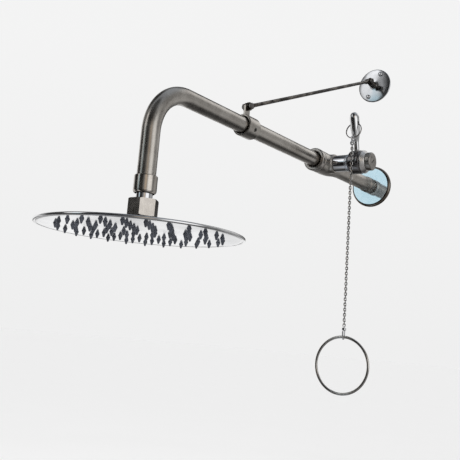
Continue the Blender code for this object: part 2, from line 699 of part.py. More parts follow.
def plate_screw_places():
    places = []
    for turn in (PLATE_SCREW_ANGLE, PLATE_SCREW_ANGLE + math.pi):
        offset = Vector((math.cos(turn), 0, math.sin(turn))) * PLATE_SCREW_CIRCLE
        places.append(PLATE_ORIGIN + offset)
    return places


def make_brace_plate():
    """Domed disc with a stub that carries the knuckle's flat tongue."""
    profile = [(PLATE_RADIUS, 0), (PLATE_RADIUS, -1.3 * MM), (28.3 * MM, -2.2 * MM), (18 * MM, -3.0 * MM)]
    profile += [(10 * MM, -3.4 * MM), (7 * MM, -3.6 * MM), (5.5 * MM, -5.5 * MM), (5.5 * MM, -17 * MM)]
    profile += [(4.5 * MM, -18 * MM), (0, -18 * MM), (0, 0)]
    plate = finish_object("brace_plate", turned(profile, "Y", 28, closed=False), POLISHED, PLATE_ORIGIN)
    tongue = box((3 * MM, 11 * MM, 9 * MM), (0, 5 * MM, 0))
    add(plate, "knuckle_tongue", tongue, KNUCKLE_PIVOT)
    add(plate, "knuckle_eye", rod(4.5 * MM, -1.5 * MM, 1.5 * MM, "X", 20), KNUCKLE_PIVOT)
    cut(plate, "knuckle_hole", rod(BOLT_RADIUS + GAP, -4 * MM, 4 * MM, "X", 16), KNUCKLE_PIVOT)
    for index, place in enumerate(plate_screw_places()):
        cut(plate, "plate_hole_%d" % index, rod(2.4 * MM, -6 * MM, 2 * MM, "Y", 14), place)


def make_plate_screws():
    """Pan-head screws whose shanks go into the wall."""
    profile = [(0, -5.6), (1.8, -5.5), (3.2, -5.0), (3.8, -4.2), (3.8, -3.3), (2.1, -3.3), (2.1, 20), (0, 26)]
    points = [(radius * MM, height * MM) for radius, height in profile]
    for name, place in zip(("plate_screw_top", "plate_screw_bottom"), plate_screw_places()):
        finish_object(name, turned(points, "Y", 14, closed=False), SATIN, place)


def main():
    clear_scene()
    make_wall_flange()
    make_flange_film()
    make_supply_nipple()
    make_valve_body()
    make_body_insert()
    make_ball_seats()
    make_valve_ball()
    make_valve_stem()
    make_bonnet()
    make_stem_packing()
    make_gland_nut()
    make_lever_hub()
    make_hub_ring()
    make_end_cap()
    make_lever()
    make_split_ring()
    make_chain_connector()
    make_pull_chain()
    make_ring_shackle()
    make_pull_ring()
    make_inlet_pipe()
    make_coupling()
    make_set_screw()
    make_arm_tube()
    make_drop_collar()
    make_ball_stud()
    make_swivel_nut()
    make_ball_gasket()
    make_head_shell()
    make_face_plate()
    make_nozzle_mat()
    make_brace_lug()
    make_brace_rod()
    make_pivot_bolt("lug_bolt", LUG_PIVOT)
    make_pivot_nut("lug_nut", LUG_PIVOT)
    make_pivot_bolt("knuckle_bolt", KNUCKLE_PIVOT)
    make_pivot_nut("knuckle_nut", KNUCKLE_PIVOT)
    make_brace_plate()
    make_plate_screws()


main()
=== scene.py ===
import math
import random

import bmesh
import bpy
from mathutils import Matrix, Vector


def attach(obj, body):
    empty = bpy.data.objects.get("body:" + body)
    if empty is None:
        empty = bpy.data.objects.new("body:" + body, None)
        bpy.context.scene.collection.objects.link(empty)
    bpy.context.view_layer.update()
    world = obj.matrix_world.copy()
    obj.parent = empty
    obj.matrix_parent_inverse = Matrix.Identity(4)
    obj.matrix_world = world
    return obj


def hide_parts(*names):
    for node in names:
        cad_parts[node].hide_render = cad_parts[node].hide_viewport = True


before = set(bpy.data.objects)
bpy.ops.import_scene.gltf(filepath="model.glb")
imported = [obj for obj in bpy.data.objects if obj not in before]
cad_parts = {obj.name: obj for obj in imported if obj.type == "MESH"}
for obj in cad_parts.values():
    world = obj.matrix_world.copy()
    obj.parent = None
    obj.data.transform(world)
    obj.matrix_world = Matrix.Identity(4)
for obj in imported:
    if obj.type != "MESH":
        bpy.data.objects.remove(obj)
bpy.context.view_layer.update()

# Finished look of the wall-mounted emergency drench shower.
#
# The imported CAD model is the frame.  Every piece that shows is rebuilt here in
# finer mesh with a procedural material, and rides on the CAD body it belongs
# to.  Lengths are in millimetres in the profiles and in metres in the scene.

MM = 0.001

# ---------------------------------------------------------------- places

# All in millimetres, in the CAD model's axes.  A WIRE or a HALF is a radius.
GAP = 0.3
STEM = Vector((0, -168, 0))
DROP = Vector((0, -563.2, 0))
SWIVEL = DROP - Vector((0, 0, 140))
PLATE = Vector((-6, 0, 181))
LUG_PIVOT = Vector((0, -386, 26.5))
LUG_FOOT = 14.3
WALL_PIVOT = PLATE - Vector((0, 26, 0))
LEVER_X = 54.7
LEVER_LEAN = math.radians(17)
HOLE_AT = 58.0
HOLE = STEM + Vector((LEVER_X, -HOLE_AT * math.sin(LEVER_LEAN), HOLE_AT * math.cos(LEVER_LEAN)))
SPLIT_RADIUS = 12.0
SPLIT_HALF = 0.9
SPLIT_RISE = 0.4
SPLIT_LEAN = math.radians(10)
SPLIT_FALL = Vector((0, -math.sin(SPLIT_LEAN), -math.cos(SPLIT_LEAN)))
SPLIT_BOTTOM = HOLE + Vector((0, 0, SPLIT_RISE)) + SPLIT_FALL * 2 * SPLIT_RADIUS
LINK_WIRE = 1.1
CONNECTOR_HEIGHT = 11.8
CONNECTOR_TOP = SPLIT_BOTTOM + Vector((0, 0, SPLIT_HALF + GAP + LINK_WIRE))
CHAIN_TOP = CONNECTOR_TOP - Vector((0, 0, CONNECTOR_HEIGHT + LINK_WIRE + GAP))
CHAIN_LENGTH = 268.0
CHAIN_LEAN = math.radians(1.3)
CHAIN_HANG = Vector((math.sin(CHAIN_LEAN), 0, -math.cos(CHAIN_LEAN)))
CHAIN_BOTTOM = CHAIN_TOP + CHAIN_HANG * CHAIN_LENGTH
CHAIN_PITCH = 3.7
CHAIN_WIRE = 0.72
CHAIN_WIDTH = 3.0
SHACKLE_HEIGHT = 15.0
SHACKLE = CHAIN_BOTTOM - Vector((0, 0, GAP + LINK_WIRE + SHACKLE_HEIGHT / 2))
RING_WIRE = 1.9
RING_TOP = SHACKLE + Vector((0, 0, LINK_WIRE + GAP + RING_WIRE - SHACKLE_HEIGHT / 2))
RING_RADIUS = 39.9
RING_TURN = math.radians(2)
PIPE_RADIUS = 10.65
PIPE_BORE = 9.05
BEND_RADIUS = 55
FACE_Z = -28.0
FACE_THICK = 0.8
NOZZLE_CIRCLES = 5
NOZZLE_PITCH = 18
NOZZLE_TURN = math.radians(13.5)
PLATE_SCREW_RADIUS = 22
PLATE_SCREW_TURN = math.radians(62)
FLOOR_Z = -1000
FLOOR_RADIUS = 30000

# ----------------------------------------------------------------- camera

CAMERA_PLACE = (0.5484, -1.1491, -0.2632)
CAMERA_TURN = (0.632, 0.133, -0.087)
LENS = 58.04
SENSOR = 36


def make_camera():
    """A long lens under the arm on the lever's side; its turn is heading, rise and roll in radians."""
    azimuth, elevation, roll = CAMERA_TURN
    forward = Vector((
        -math.sin(azimuth) * math.cos(elevation),
        math.cos(azimuth) * math.cos(elevation),
        math.sin(elevation),
    ))
    level = Vector((math.cos(azimuth), math.sin(azimuth), 0))
    over = level.cross(forward)
    right = math.cos(roll) * level - math.sin(roll) * over
    up = math.sin(roll) * level + math.cos(roll) * over
    data = bpy.data.cameras.new("camera")
    data.lens = LENS
    data.sensor_width = SENSOR
    data.clip_start = 0.01
    data.clip_end = 100
    camera = bpy.data.objects.new("camera", data)
    turn = Matrix((right, up, -forward)).transposed().to_4x4()
    camera.matrix_world = Matrix.Translation(CAMERA_PLACE) @ turn
    bpy.context.collection.objects.link(camera)
    bpy.context.scene.camera = camera


# -------------------------------------------------------------- materials


def new_material(name):
    """A material with its node tree and its Principled shader."""
    material = bpy.data.materials.new(name)
    material.use_nodes = True
    tree = material.node_tree
    shader = tree.nodes["Principled BSDF"]
    return material, tree, shader


def object_coords(tree):
    return tree.nodes.new("ShaderNodeTexCoord").outputs["Object"]


def noise(tree, coords, scale, detail=3.0, stretch=(1, 1, 1), roughness=0.55):
    """A noise field in object space; a stretch below one draws it out along that axis."""
    mapping = tree.nodes.new("ShaderNodeMapping")
    mapping.inputs["Scale"].default_value = stretch
    tree.links.new(coords, mapping.inputs["Vector"])
    field = tree.nodes.new("ShaderNodeTexNoise")
    field.inputs["Scale"].default_value = scale
    field.inputs["Detail"].default_value = detail
    field.inputs["Roughness"].default_value = roughness
    tree.links.new(mapping.outputs["Vector"], field.inputs["Vector"])
    return field.outputs["Fac"]


def spread(tree, value, low, high, start=0.3, end=0.7):
    """Map a field's start to low and its end to high, and clamp it beyond them."""
    node = tree.nodes.new("ShaderNodeMapRange")
    node.inputs["From Min"].default_value = start
    node.inputs["From Max"].default_value = end
    node.inputs["To Min"].default_value = low
    node.inputs["To Max"].default_value = high
    tree.links.new(value, node.inputs["Value"])
    return node.outputs["Result"]


def blend_colour(tree, factor, first, second):
    """Mix two colours, each a tuple or a socket."""
    node = tree.nodes.new("ShaderNodeMix")
    node.data_type = "RGBA"
    tree.links.new(factor, node.inputs["Factor"])
    for socket, colour in ((node.inputs["A"], first), (node.inputs["B"], second)):
        if isinstance(colour, tuple):
            socket.default_value = (*colour, 1)
        else:
            tree.links.new(colour, socket)
    return node.outputs["Result"]


def arithmetic(tree, operation, first, second):
    """One maths step on two values, each a number or a socket."""
    node = tree.nodes.new("ShaderNodeMath")
    node.operation = operation
    for socket, value in zip(node.inputs, (first, second)):
        if isinstance(value, (int, float)):
            socket.default_value = value
        else:
            tree.links.new(value, socket)
    return node.outputs["Value"]


def bump(tree, height, distance, strength, normal=None):
    """Relief from a height field, laid over an earlier relief if one is given."""
    node = tree.nodes.new("ShaderNodeBump")
    node.inputs["Distance"].default_value = distance
    node.inputs["Strength"].default_value = strength
    tree.links.new(height, node.inputs["Height"])
    if normal is not None:
        tree.links.new(normal, node.inputs["Normal"])
    return node.outputs["Normal"]


def connect(tree, shader, colour, gloss, normal, metallic):
    """Plug the colour, gloss and relief fields into the shader."""
    tree.links.new(colour, shader.inputs["Base Color"])
    tree.links.new(gloss, shader.inputs["Roughness"])
    tree.links.new(normal, shader.inputs["Normal"])
    shader.inputs["Metallic"].default_value = metallic


def metal(name, dark, light, rough, grain, stretch, relief, stain):
    """Steel: fine grain, broad stains, uneven gloss and a few scratches."""
    material, tree, shader = new_material(name)
    coords = object_coords(tree)
    fine = noise(tree, coords, grain, 4, stretch)
    broad = noise(tree, coords, stain, 3)
    scratch = noise(tree, coords, grain * 0.5, 2, (1, 0.04, 1))
    tone = arithmetic(tree, "ADD", spread(tree, fine, 0, 0.45), spread(tree, broad, 0, 0.55))
    colour = blend_colour(tree, tone, dark, light)
    low, high = rough
    fine_gloss = spread(tree, fine, 0, 0.4 * (high - low))
    broad_gloss = spread(tree, broad, low, low + 0.6 * (high - low))
    gloss = arithmetic(tree, "ADD", fine_gloss, broad_gloss)
    normal = bump(tree, fine, relief * MM, 0.6)
    normal = bump(tree, scratch, relief * 0.6 * MM, 0.4, normal)
    connect(tree, shader, colour, gloss, normal, 1.0)
    return material


def mirror(name, colour, rough, smudge=35.0, ripple=0.03, wave=45.0):
    """Polished steel or chrome: smudges, hairlines and a slight waviness."""
    material, tree, shader = new_material(name)
    coords = object_coords(tree)
    smear = noise(tree, coords, smudge, 5, (1, 1, 1), 0.65)
    hair = noise(tree, coords, 900, 2, (1, 0.02, 0.6))
    swell = noise(tree, coords, wave, 1)
    dull = tuple(c * 0.86 for c in colour)
    tint = blend_colour(tree, spread(tree, smear, 0, 1, 0.4, 0.75), colour, dull)
    smeared = spread(tree, smear, rough[0], rough[1], 0.35, 0.75)
    gloss = arithmetic(tree, "ADD", smeared, spread(tree, hair, 0, 0.03, 0.6, 0.7))
    normal = bump(tree, swell, ripple * MM, 0.5)
    normal = bump(tree, hair, 0.003 * MM, 0.3, normal)
    connect(tree, shader, tint, gloss, normal, 1.0)
    return material


def soft(name, dark, light, rough, grain=900.0, relief=0.03):
    """Rubber, silicone and plastic."""
    material, tree, shader = new_material(name)
    coords = object_coords(tree)
    fine = noise(tree, coords, grain, 4)
    broad = noise(tree, coords, grain / 14, 2)
    tone = arithmetic(tree, "ADD", spread(tree, fine, 0, 0.5), spread(tree, broad, 0, 0.5))
    colour = blend_colour(tree, tone, dark, light)
    gloss = spread(tree, fine, rough[0], rough[1])
    connect(tree, shader, colour, gloss, bump(tree, fine, relief * MM, 0.5), 0.0)
    return material


def film_material():
    """Blue peelable film over polished steel: it still mirrors the valve's tail."""
    material, tree, shader = new_material("blue_film")
    coords = object_coords(tree)
    speck = noise(tree, coords, 1400, 3)
    cloud = noise(tree, coords, 120, 4)
    tone = arithmetic(tree, "ADD", spread(tree, speck, 0, 0.4), spread(tree, cloud, 0, 0.6))
    colour = blend_colour(tree, tone, (0.7, 0.81, 0.86), (0.8, 0.88, 0.915))
    gloss = spread(tree, cloud, 0.05, 0.11)
    normal = bump(tree, cloud, 0.02 * MM, 0.4)
    normal = bump(tree, speck, 0.006 * MM, 0.4, normal)
    connect(tree, shader, colour, gloss, normal, 0.82)
    return material


def rod_material():
    """Blackened bar, rubbed bright in patches along its length."""
    material, tree, shader = new_material("drawn_bar")
    coords = object_coords(tree)
    patches = noise(tree, coords, 42, 3, (1, 1, 1), 0.6)
    streaks = noise(tree, coords, 600, 3, (1, 0.12, 1))
    bare = spread(tree, patches, 0, 1, 0.44, 0.62)
    rubbed = arithmetic(tree, "MULTIPLY", bare, spread(tree, streaks, 0.3, 1))
    colour = blend_colour(tree, rubbed, (0.018, 0.013, 0.01), (0.3, 0.27, 0.24))
    gloss = spread(tree, streaks, 0.2, 0.36)
    connect(tree, shader, colour, gloss, bump(tree, streaks, 0.01 * MM, 0.5), 1.0)
    return material


# ------------------------------------------------------------ mesh helpers

TURNS = {
    "X": Matrix.Rotation(math.pi / 2, 3, "Y"),
    "Y": Matrix.Rotation(-math.pi / 2, 3, "X"),
    "Z": Matrix.Identity(3),
}


def piece(name, shape, material, body, nodes=(), edge=0.0, smooth=32):
    """Turn a bmesh in millimetres into a finished piece that rides on a body."""
    item = solid_object(name, shape)
    item.data.shade_smooth()
    item.data.set_sharp_from_angle(angle=math.radians(smooth))
    item.data.materials.append(material)
    if edge > 0:
        round_edges = item.modifiers.new("rounded", "BEVEL")
        round_edges.width = edge * MM
        round_edges.segments = 3
        round_edges.limit_method = "ANGLE"
        round_edges.angle_limit = math.radians(28)
        round_edges.harden_normals = True
    weighted = item.modifiers.new("weighted", "WEIGHTED_NORMAL")
    weighted.keep_sharp = True
    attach(item, body)
    if nodes:
        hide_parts(*nodes)
    return item


def loft(sections, segments, closed=False):
    """Skin elliptical sections (x radius, y radius, height)."""
    shape = bmesh.new()
    rings = []
    for radius_x, radius_y, height in sections:
        if radius_x < 1e-6:
            rings.append([shape.verts.new((0, 0, height))])
            continue
        ring = []
        for step in range(segments):
            angle = math.tau * step / segments
            ring.append(shape.verts.new((radius_x * math.cos(angle), radius_y * math.sin(angle), height)))
        rings.append(ring)
    pairs = list(zip(rings, rings[1:]))
    if closed:
        pairs.append((rings[-1], rings[0]))
    for first, second in pairs:
        for step in range(segments):
            after = (step + 1) % segments
            corners = [first[step % len(first)], first[after % len(first)]]
            corners += [second[after % len(second)], second[step % len(second)]]
            unique = list(dict.fromkeys(corners))
            if len(unique) > 2:
                shape.faces.new(unique)
    if not closed:
        for ring in (rings[0], rings[-1]):
            if len(ring) > 2:
                shape.faces.new(ring)
    return shape


def lathe(profile, axis="Z", origin=(0, 0, 0), segments=96, closed=True):
    """Turn a profile of (radius, height) about an axis; closed joins its last point to its first."""
    shape = loft([(r, r, h) for r, h in profile], segments, closed)
    bmesh.ops.rotate(shape, verts=shape.verts, cent=(0, 0, 0), matrix=TURNS[axis])
    return move(shape, origin)


def sweep(path, radius, sides=10, closed=True):
    """Round wire along points; closed joins its ends."""
    shape = bmesh.new()
    rings = []
    count = len(path)
    normal = None
    for index, point in enumerate(path):
        before = path[(index - 1) % count] if closed or index > 0 else point
        after = path[(index + 1) % count] if closed or index < count - 1 else point
        along = (after - before).normalized()
        if normal is None:
            normal = along.orthogonal().normalized()
        normal = (normal - along * normal.dot(along)).normalized()
        across = along.cross(normal)
        ring = []
        for side in range(sides):
            angle = math.tau * side / sides
            spoke = math.cos(angle) * normal + math.sin(angle) * across
            ring.append(shape.verts.new(point + radius * spoke))
        rings.append(ring)
    pairs = list(zip(rings, rings[1:]))
    if closed:
        first, last = rings[0], rings[-1]
        offset = min(range(sides), key=lambda shift: (last[0].co - first[shift].co).length)
        pairs.append((last, first[offset:] + first[:offset]))
    for first, second in pairs:
        for side in range(sides):
            after = (side + 1) % sides
            shape.faces.new((first[side], first[after], second[after], second[side]))
    if not closed:
        shape.faces.new(rings[0])
        shape.faces.new(rings[-1])
    return shape


def block(size, centre):
    shape = bmesh.new()
    bmesh.ops.create_cube(shape, size=1)
    bmesh.ops.scale(shape, verts=shape.verts, vec=size)
    bmesh.ops.translate(shape, verts=shape.verts, vec=centre)
    return shape


def move(shape, offset):
    bmesh.ops.translate(shape, verts=shape.verts, vec=offset)
    return shape


def spin(shape, angle, axis, centre=(0, 0, 0)):
    bmesh.ops.rotate(shape, verts=shape.verts, cent=centre, matrix=Matrix.Rotation(angle, 3, axis))
    return shape


def solid_object(name, shape):
    """Turn a bmesh in millimetres into an object in metres, and free the bmesh."""
    bmesh.ops.recalc_face_normals(shape, faces=shape.faces)
    bmesh.ops.scale(shape, verts=shape.verts, vec=(MM, MM, MM))
    mesh = bpy.data.meshes.new(name)
    shape.to_mesh(mesh)
    shape.free()
    item = bpy.data.objects.new(name, mesh)
    bpy.context.collection.objects.link(item)
    return item


def gather(joined, shape):
    """Add a shape to a joined one and free it."""
    scratch = bpy.data.meshes.new("scratch")
    shape.to_mesh(scratch)
    shape.free()
    joined.from_mesh(scratch)
    bpy.data.meshes.remove(scratch)


def fused(base, steps, remesh=0.0, smooth=0):
    """Boolean a list of (operation, bmesh) onto a bmesh; the result is a new bmesh in millimetres.

    A voxel size in millimetres blends the joints, with that many smoothing rounds.
    """
    item = solid_object("fuse", base)
    tools = []
    for operation, shape in steps:
        tool = solid_object("tool", shape)
        tools.append(tool)
        boolean = item.modifiers.new("join", "BOOLEAN")
        boolean.operation = operation
        boolean.solver = "EXACT"
        boolean.object = tool
    if remesh > 0:
        voxels = item.modifiers.new("voxels", "REMESH")
        voxels.mode = "VOXEL"
        voxels.voxel_size = remesh * MM
        voxels.use_smooth_shade = True
        relax = item.modifiers.new("relax", "SMOOTH")
        relax.factor = 0.5
        relax.iterations = smooth
    graph = bpy.context.evaluated_depsgraph_get()
    graph.update()
    done = bpy.data.meshes.new_from_object(item.evaluated_get(graph))
    shape = bmesh.new()
    shape.from_mesh(done)
    bmesh.ops.scale(shape, verts=shape.verts, vec=(1000, 1000, 1000))
    for thing in [item] + tools:
        bpy.data.objects.remove(thing, do_unlink=True)
    bpy.data.meshes.remove(done)
    return shape


def arc(centre, radius, start, end, steps):
    """Points along a circle between two angles in degrees."""
    points = []
    for step in range(steps + 1):
        angle = math.radians(start + (end - start) * step / steps)
        points.append((centre[0] + radius * math.cos(angle), centre[1] + radius * math.sin(angle)))
    return points


# ------------------------------------------------------------------ chain


def link_path(width, height, steps):
    """Centre line of a round-ended link that stands in the YZ plane."""
    reach = height / 2 - width / 2
    path = [Vector((0, y, z + reach)) for y, z in arc((0, 0), width / 2, 0, 180, steps)]
    path += [Vector((0, y, z - reach)) for y, z in arc((0, 0), width / 2, 180, 360, steps)]
    return path


def make_chain(looks):
    """Small welded links, each at right angles to the last."""
    random.seed(7)
    height = CHAIN_PITCH + 2 * CHAIN_WIRE - 0.05
    joined = bmesh.new()
    for index in range(round(CHAIN_LENGTH / CHAIN_PITCH)):
        link = sweep(link_path(CHAIN_WIDTH, height, 5), CHAIN_WIRE, 7)
        turn = math.radians(35) + (math.pi / 2 if index % 2 else 0) + random.uniform(-0.16, 0.16)
        spin(link, random.uniform(-0.05, 0.05), "X")
        spin(link, turn, "Z")
        drop = min(max((index + 0.5) * CHAIN_PITCH, height / 2), CHAIN_LENGTH - height / 2)
        move(link, CHAIN_TOP + CHAIN_HANG * drop)
        gather(joined, link)
    chain = piece("pull_chain_links", joined, looks["chain"], "chain_set", ("pull_chain",))


def make_split_ring(looks):
    """Two close turns of wire, ends stepped, as on a key ring."""
    path = []
    steps = 72
    for step in range(2 * steps + 1):
        angle = math.tau * step / steps
        side = (step / steps - 1) * 0.7
        path.append(Vector((SPLIT_RADIUS * math.sin(angle), side, SPLIT_RADIUS * (math.cos(angle) - 1))))
    ring = sweep(path, 0.72, 10, closed=False)
    spin(ring, -SPLIT_LEAN, "X")
    move(ring, HOLE + Vector((0, 0, SPLIT_RISE)))
    piece("key_ring", ring, looks["key_ring"], "chain_set", ("split_ring",))


def make_connector(looks):
    """Two links at right angles, with a small swivel barrel between them."""
    top = sweep(link_path(5.8, 8.2, 10), 1.15, 10)
    move(top, CONNECTOR_TOP - Vector((0, 0, 4.1)))
    low = sweep(link_path(5.4, 6.4, 8), 1.1, 10)
    spin(low, math.radians(80), "Z")
    move(low, CONNECTOR_TOP - Vector((0, 0, 9.6)))
    piece("connector_upper", top, looks["chrome"], "chain_set", ("chain_connector",))
    piece("connector_lower", low, looks["chrome"], "chain_set")
    profile = [(1.6, -1.8), (2.3, -1.2), (2.5, 0), (2.3, 1.2), (1.6, 1.8)]
    barrel = lathe(profile, "Z", CONNECTOR_TOP - Vector((0, 0, 8.0)), 24, closed=False)
    piece("connector_swivel", barrel, looks["chrome"], "chain_set")


def make_shackle(looks):
    """A bent wire loop with a sleeve over its joint."""
    hook = sweep(link_path(6.6, 13.6, 12), 1.0, 10)
    spin(hook, RING_TURN, "Z")
    move(hook, SHACKLE + Vector((0, 0, -0.3)))
    piece("wire_shackle", hook, looks["chrome"], "chain_set", ("ring_shackle",))
    profile = [(2.0, -2.0), (3.1, -1.3), (3.1, 1.3), (2.0, 2.0)]
    sleeve = lathe(profile, "Z", SHACKLE + Vector((0, 0, 6.9)), 24, closed=False)
    piece("shackle_sleeve", sleeve, looks["chrome"], "chain_set")


def make_pull_ring(looks):
    path = []
    for step in range(120):
        angle = math.tau * step / 120
        path.append(RING_RADIUS * Vector((math.sin(angle), 0, math.cos(angle) - 1)))
    ring = sweep(path, RING_WIRE, 16)
    spin(ring, RING_TURN, "Z")
    move(ring, RING_TOP)
    piece("hand_ring", ring, looks["ring"], "ring_set", ("pull_ring",))


# ------------------------------------------------------------------- wall


def make_flange(looks):
    """A shallow pressed dish, open at the wall, with the film over its face."""
    outer = [(35, 0), (35, -1.6), (34.7, -2.8), (34.0, -3.9), (33.0, -4.9), (31.7, -5.5)]
    outer += [(26, -5.6), (10.9, -5.6)]
    inner = [(10.9, -4.4), (31.0, -4.4), (32.6, -3.4), (33.4, -1.8), (33.4, 0)]
    dish = lathe(outer + inner, "Y")
    # The dish's dark brown mirror colour is painted shade on its rim, over polished steel.
    piece("flange_dish", dish, looks["rim"], "frame", ("wall_flange",), smooth=40)
    film = [(31.2, -5.9), (31.2, -6.2), (30.6, -6.2), (12.5, -6.2), (12.5, -5.9)]
    piece("flange_skin", lathe(film, "Y"), looks["film"], "frame", ("flange_film",))


def make_brace_plate(looks):
    """A domed disc with two screw holes."""
    profile = [(29.5, 0), (29.5, -1.2), (29.0, -1.9), (28.0, -2.3), (22, -2.8), (15, -3.2), (9, -3.5)]
    profile += [(7.2, -3.7), (6.2, -4.0), (0, -4.0), (0, 0)]
    plate = lathe(profile, "Y", PLATE, 96, closed=False)
    steps = []
    for place in screw_places():
        steps.append(("DIFFERENCE", lathe([(2.5, -6), (2.5, 2)], "Y", place, 32, closed=False)))
    piece("wall_plate", fused(plate, steps), looks["plate"], "frame", ("brace_plate",), edge=0.25)


def make_knuckle(looks):
    """The plate's stub, ending in a flat tongue for the rod's bolt."""
    stub = [(6.6, -3.6), (6.0, -4.4), (5.5, -5.6), (5.3, -7.5), (5.3, -16), (4.9, -17.4), (4.0, -18)]
    tongue = fused(block((3, 11, 9), WALL_PIVOT + Vector((0, 5, 0))), [
        ("UNION", lathe([(4.5, -1.5), (4.5, 1.5)], "X", WALL_PIVOT, 48, closed=False)),
        ("UNION", lathe(stub, "Y", PLATE, 64, closed=False)),
    ])
    piece("knuckle_tongue", tongue, looks["dark"], "frame", edge=0.4)


def make_plate_screws(looks):
    """Pan-head screws with a cross recess."""
    head = [(0, -5.9), (1.6, -5.8), (2.9, -5.3), (3.6, -4.5), (3.8, -3.4), (2.1, -3.3), (2.1, 20), (0, 26)]
    nodes = ("plate_screw_top", "plate_screw_bottom")
    for index, (place, node) in enumerate(zip(screw_places(), nodes)):
        steps = []
        for size in ((5.2, 2.2, 0.8), (0.8, 2.2, 5.2)):
            slot = block(size, place + Vector((0, -5.6, 0)))
            steps.append(("DIFFERENCE", spin(slot, 0.5, "Y", place)))
        screw = fused(lathe(head, "Y", place, 40, closed=False), steps)
        piece("pan_screw_%d" % index, screw, looks["chrome"], "frame", (node,))


def screw_places():
    """The plate's two screws, on opposite sides of its centre."""
    places = []
    for turn in (PLATE_SCREW_TURN, PLATE_SCREW_TURN + math.pi):
        places.append(PLATE + PLATE_SCREW_RADIUS * Vector((math.cos(turn), 0, math.sin(turn))))
    return places


# ------------------------------------------------------------------ valve


def make_valve_body(looks):
    """Cast chamber and long tail, with a boss for the bonnet blended in."""
    outer = [(0, -196), (16.0, -196), (16.8, -195), (16.8, -173), (16.5, -166), (15.9, -158), (15.0, -151)]
    outer += [(13.8, -145), (12.7, -138), (12.0, -130), (11.65, -120), (11.6, -100), (11.6, -28)]
    outer += [(12.0, -27), (13.0, -25.6), (13.0, -12.4), (12.4, -10.6), (11.6, -10), (0, -10)]
    body = lathe(outer, "Y", (0, 0, 0), 96, closed=False)
    boss = lathe([(14.6, 4), (14.6, 16.8), (14.2, 17.8), (13.4, 18.4)], "X", STEM, 72, closed=False)
    cast = fused(body, [("UNION", boss)], remesh=0.75, smooth=10)
    piece("cast_body", cast, looks["cast"], "frame", ("valve_body",), smooth=60)


def make_supply_stub(looks):
    stub = lathe([(10.45, -22), (10.45, 11), (9.45, 12), (7.9, 12), (7.9, -22)], "Y")
    piece("wall_stub", stub, looks["satin"], "frame", ("supply_nipple",))


def make_insert(looks):
    """Screwed ring that holds the pipe, with a rolled bead round it."""
    insert = [(16.2, -196.4), (17.2, -197.6), (17.2, -203.4), (16.8, -204.4), (15.8, -205), (13.0, -205)]
    insert += [(12.2, -204.2), (11.6, -202.0), (11.2, -199.0), (11.2, -196.4)]
    piece("screwed_insert", lathe(insert, "Y"), looks["insert"], "frame", ("body_insert",), edge=0.35)


def make_bonnet(looks):
    """Chrome barrel with a lip round its outer end, whose pale blue-grey colour is partly plain steel and
    partly a painted reflection.
    """
    profile = [(11.2, 18.4), (12.0, 18.8), (12.3, 19.6), (12.3, 37.0), (12.0, 37.6), (12.0, 42.6)]
    profile += [(11.6, 43), (10.6, 43), (9.4, 42.4), (7.6, 42.2), (7.6, 38.9), (4.8, 38.9), (4.8, 18.4)]
    barrel = lathe(profile, "X", STEM)
    piece("bonnet_barrel", barrel, looks["barrel"], "frame", ("bonnet",), edge=0.2)
    lip = [(12.0, 37.7), (12.5, 38.0), (12.8, 39.2), (12.8, 41.2), (12.5, 42.4), (12.0, 42.8)]
    # The lip's pale blue-grey tint is a painted reflection laid over plain steel.
    piece("bonnet_lip", lathe(lip, "X", STEM), looks["lip"], "frame")


def make_hub(looks):
    """The lever's worn boss and the pale tapered collar outside it."""
    profile = [(15.6, 45.2), (16.9, 45.6), (17.5, 46.8), (17.5, 60.6), (17.2, 62.0), (16.4, 63.2)]
    profile += [(15.2, 64.0), (14.4, 64.2), (4.8, 64.2), (4.8, 45.2)]
    piece("hub_body", lathe(profile, "X", STEM), looks["hub"], "lever_set", ("lever_hub",), edge=0.3)
    ring = [(16.2, 64.5), (17.0, 64.8), (17.2, 65.4), (17.2, 66.4), (16.8, 67.1), (13.9, 70.8)]
    ring += [(13.2, 71.3), (4.8, 71.3), (4.8, 64.5)]
    piece("hub_collar", lathe(ring, "X", STEM), looks["pale"], "lever_set", ("hub_ring",), edge=0.2)


def make_end_cap(looks):
    """Screwed cap with a slot and a punched dimple in its face."""
    profile = [(4.4, 70.4), (4.4, 71.6), (12.6, 71.6), (13.2, 72.0), (13.4, 72.8), (13.4, 77.9)]
    profile += [(12.9, 78.9), (11.9, 79.5)]
    cap = lathe(profile, "X", STEM, 96, closed=False)
    slot = spin(block((2.2, 11, 1.7), STEM + Vector((79.4, 0, 0))), math.radians(40), "X", STEM)
    dimple = lathe([(1.1, 78.7), (1.1, 80.5)], "X", STEM + Vector((0, -4.4, 5.0)), 24, closed=False)
    cap = fused(cap, [("DIFFERENCE", slot), ("DIFFERENCE", dimple)])
    piece("screwed_cap", cap, looks["cap"], "lever_set", ("end_cap",), edge=0.2)


def make_lever(looks):
    """Round shank swelling into a long oval grip with a flute down its side."""
    sections = [(3.0, 3.0, 15), (3.8, 3.8, 17.9), (4.0, 4.0, 20), (4.0, 4.0, 29), (4.3, 4.5, 32)]
    sections += [(4.8, 5.4, 35.5), (5.4, 6.4, 39), (5.9, 7.2, 43), (6.4, 7.8, 50), (6.6, 8.0, 58)]
    sections += [(6.6, 8.0, 65), (6.2, 7.5, 68.5), (5.2, 6.3, 71.5), (3.3, 4.0, 73.7), (0, 0, 74.5)]
    hollow = [(0, 0, 35), (1.0, 2.4, 38), (1.3, 3.4, 43), (1.3, 3.8, 50), (1.3, 3.8, 64), (1.0, 2.6, 68)]
    hollow += [(0, 0, 70.5)]
    flute = move(loft(hollow, 24), (6.5, 0, 0))
    bore = lathe([(2.95, -9), (2.95, 9)], "X", (0, 0, HOLE_AT), 32, closed=False)
    grip = fused(loft(sections, 64), [("DIFFERENCE", flute), ("DIFFERENCE", bore)])
    spin(grip, LEVER_LEAN, "X")
    move(grip, STEM + Vector((LEVER_X, 0, 0)))
    piece("lever_grip", grip, looks["lever"], "lever_set", ("lever",), edge=0.35, smooth=40)


